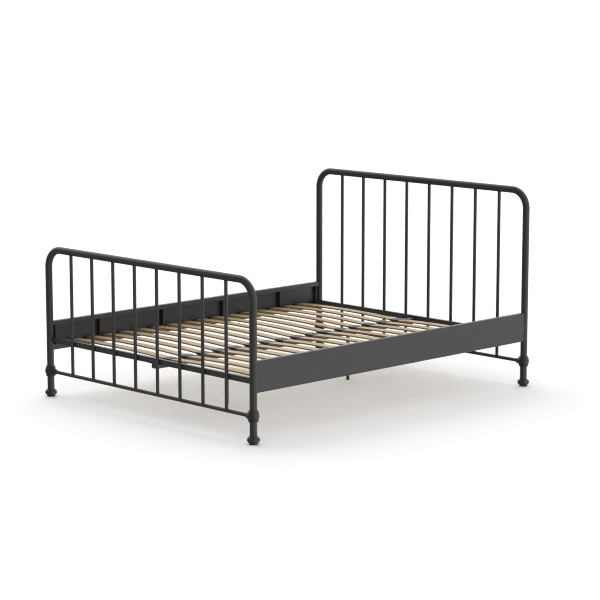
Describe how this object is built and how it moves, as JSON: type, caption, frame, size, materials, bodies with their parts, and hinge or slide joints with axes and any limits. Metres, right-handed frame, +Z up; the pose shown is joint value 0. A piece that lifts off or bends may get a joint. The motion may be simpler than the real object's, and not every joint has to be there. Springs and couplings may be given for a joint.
{
  "type": "metal bed frame",
  "caption": "Black metal bed frame with tubular spindle headboard and footboard, folded side rails and bowed wooden slats on a centre beam.",
  "frame": {"origin": "on the floor, in the middle of the bed's footprint", "axes": "+X across the bed to the right-hand side seen from the foot, +Y along the bed towards the head, +Z up"},
  "size_m": [1.694, 2.136, 1.119],
  "materials": {
    "powder_coat": "matt black powder coat",
    "coated_casting": "matt black powder coat on a casting",
    "birch_slat": "clear-lacquered birch layers",
    "seat_plastic": "moulded dark blue-grey plastic",
    "pad_plastic": "black moulded plastic",
    "zinc_steel": "zinc-plated steel"
  },
  "bodies": {
    "bed_frame": {"headboard_bow": "powder_coat", "headboard_spindles": "powder_coat", "headboard_bottom_rail": "powder_coat", "head_cross_rail": "powder_coat", "footboard_bow": "powder_coat", "footboard_spindles": "powder_coat", "footboard_bottom_rail": "powder_coat", "foot_cross_rail": "powder_coat", "bracket_head_left": "powder_coat", "bracket_head_right": "powder_coat", "bracket_foot_left": "powder_coat", "bracket_foot_right": "powder_coat", "side_rail_left": "powder_coat", "side_rail_right": "powder_coat", "centre_beam": "powder_coat", "beam_hanger_head": "powder_coat", "beam_hanger_foot": "powder_coat", "centre_leg_head": "powder_coat", "centre_leg_foot": "powder_coat", "knuckle_head_left": "coated_casting", "knuckle_head_right": "coated_casting", "knuckle_foot_left": "coated_casting", "knuckle_foot_right": "coated_casting", "foot_head_left": "coated_casting", "foot_head_right": "coated_casting", "foot_foot_left": "coated_casting", "foot_foot_right": "coated_casting", "slat_holders_left": "seat_plastic", "slat_holders_right": "seat_plastic", "centre_caps": "seat_plastic", "beam_plugs": "seat_plastic", "leg_inserts": "seat_plastic", "rail_ribs_left": "pad_plastic", "rail_ribs_right": "pad_plastic", "foot_glides": "pad_plastic", "rail_bolts": "zinc_steel", "rail_nuts": "zinc_steel", "support_screws": "zinc_steel", "slat_row_01": "birch_slat", "slat_row_02": "birch_slat", "slat_row_03": "birch_slat", "slat_row_04": "birch_slat", "slat_row_05": "birch_slat", "slat_row_06": "birch_slat", "slat_row_07": "birch_slat", "slat_row_08": "birch_slat", "slat_row_09": "birch_slat", "slat_row_10": "birch_slat", "slat_row_11": "birch_slat", "slat_row_12": "birch_slat", "slat_row_13": "birch_slat", "slat_row_14": "birch_slat", "slat_row_15": "birch_slat", "slat_row_16": "birch_slat"},
    "level_foot_head": {"level_stud_head": "zinc_steel", "level_pad_head": "pad_plastic"},
    "level_foot_foot": {"level_stud_foot": "zinc_steel", "level_pad_foot": "pad_plastic"}
  },
  "joints": [
    {"name": "level_head_slide", "type": "slide", "parent": "bed_frame", "child": "level_foot_head", "axis": [0, 0, 1], "range_m": [-0.01, 0.0015]},
    {"name": "level_foot_slide", "type": "slide", "parent": "bed_frame", "child": "level_foot_foot", "axis": [0, 0, 1], "range_m": [-0.01, 0.0015]}
  ]
}
